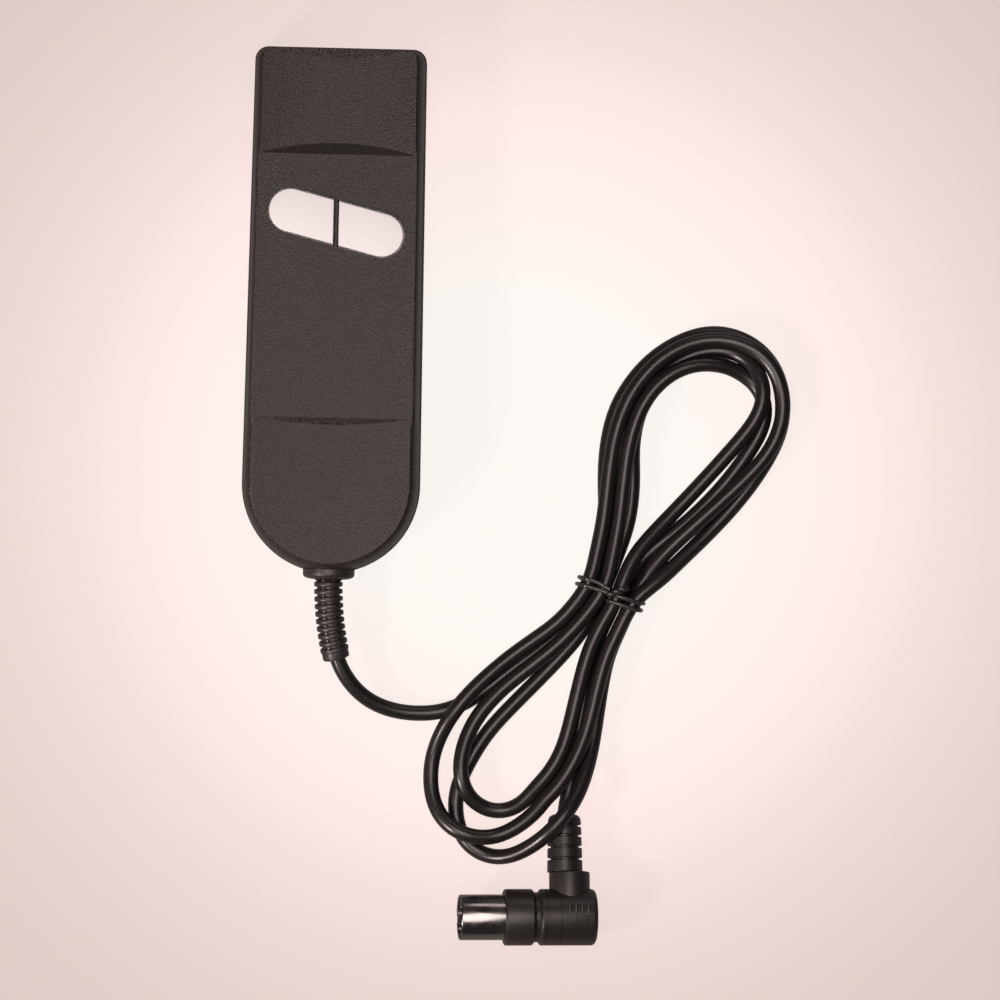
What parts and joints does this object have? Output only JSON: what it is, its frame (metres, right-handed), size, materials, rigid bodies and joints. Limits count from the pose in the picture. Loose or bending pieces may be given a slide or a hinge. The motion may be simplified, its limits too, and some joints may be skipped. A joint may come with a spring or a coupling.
{
  "type": "corded hand control",
  "caption": "Slim black hand control with a tilted pair of white push buttons, a ribbed strain relief, a tied hank of cord and a right-angle round plug.",
  "frame": {"origin": "centre of the case's footprint, on the surface that its back lies on", "axes": "+Y along the case, from the round end with the cord towards the square end; +Z out of the buttons' face; +X to the right, towards the hank"},
  "size_m": [0.1586, 0.2588, 0.0249],
  "materials": {
    "case_plastic": "fine spark-eroded texture, satin black ABS",
    "button_plastic": "smooth semi-gloss white",
    "screw_steel": "zinc plated",
    "spring_steel": "bright drawn wire",
    "switch_plastic": "moulded, matt",
    "plunger_plastic": "moulded, satin",
    "contact_metal": "tin plated brass",
    "board_laminate": "green solder mask over glass laminate",
    "header_plastic": "natural nylon",
    "wire_red": "PVC insulation",
    "wire_black": "PVC insulation",
    "wire_white": "PVC insulation",
    "solder": "bright solder",
    "clamp_plastic": "moulded nylon",
    "relief_rubber": "soft moulded PVC, satin",
    "cord_jacket": "semi-gloss PVC jacket",
    "tie_plastic": "plastic coated wire",
    "plug_plastic": "moulded PVC, semi-gloss",
    "shield_metal": "bright nickel plate",
    "insert_plastic": "moulded, matt"
  },
  "bodies": {
    "handset": {"back_cover": "case_plastic", "front_cover": "case_plastic", "case_screws": "screw_steel", "spring_left": "spring_steel", "spring_right": "spring_steel", "switch_left": "switch_plastic", "switch_right": "switch_plastic", "switch_pins": "contact_metal", "circuit_board": "board_laminate", "board_screws": "screw_steel", "wire_header": "header_plastic", "wire_red": "wire_red", "wire_black": "wire_black", "wire_white": "wire_white", "solder_joints": "solder", "cord_clamp": "clamp_plastic", "clamp_screws": "screw_steel", "strain_relief": "relief_rubber", "cord_entry": "cord_jacket", "cord_lead": "cord_jacket", "cord_hank": "cord_jacket", "cord_tie": "tie_plastic", "cord_tail": "cord_jacket", "plug_boot": "plug_plastic", "plug_housing": "plug_plastic", "plug_shield": "shield_metal", "plug_insert": "insert_plastic", "plug_pins": "contact_metal"},
    "left_button": {"button_left": "button_plastic"},
    "right_button": {"button_right": "button_plastic"},
    "left_plunger": {"plunger_left": "plunger_plastic"},
    "right_plunger": {"plunger_right": "plunger_plastic"}
  },
  "joints": [
    {"name": "left_press", "type": "slide", "parent": "handset", "child": "left_button", "axis": [0, 0, -1], "range_m": [0, 0.0008], "stiffness_N_per_m": 1500, "springref_m": -0.0005, "deforming": ["spring_left"]},
    {"name": "right_press", "type": "slide", "parent": "handset", "child": "right_button", "axis": [0, 0, -1], "range_m": [0, 0.0008], "stiffness_N_per_m": 1500, "springref_m": -0.0005, "deforming": ["spring_right"]},
    {"name": "left_plunge", "type": "slide", "parent": "handset", "child": "left_plunger", "axis": [0, 0, -1], "range_m": [0, 0.0008]},
    {"name": "right_plunge", "type": "slide", "parent": "handset", "child": "right_plunger", "axis": [0, 0, -1], "range_m": [0, 0.0008]}
  ],
  "couplings": [
    {"joint": "left_plunge", "follows": "left_press", "ratio": 1},
    {"joint": "right_plunge", "follows": "right_press", "ratio": 1}
  ]
}
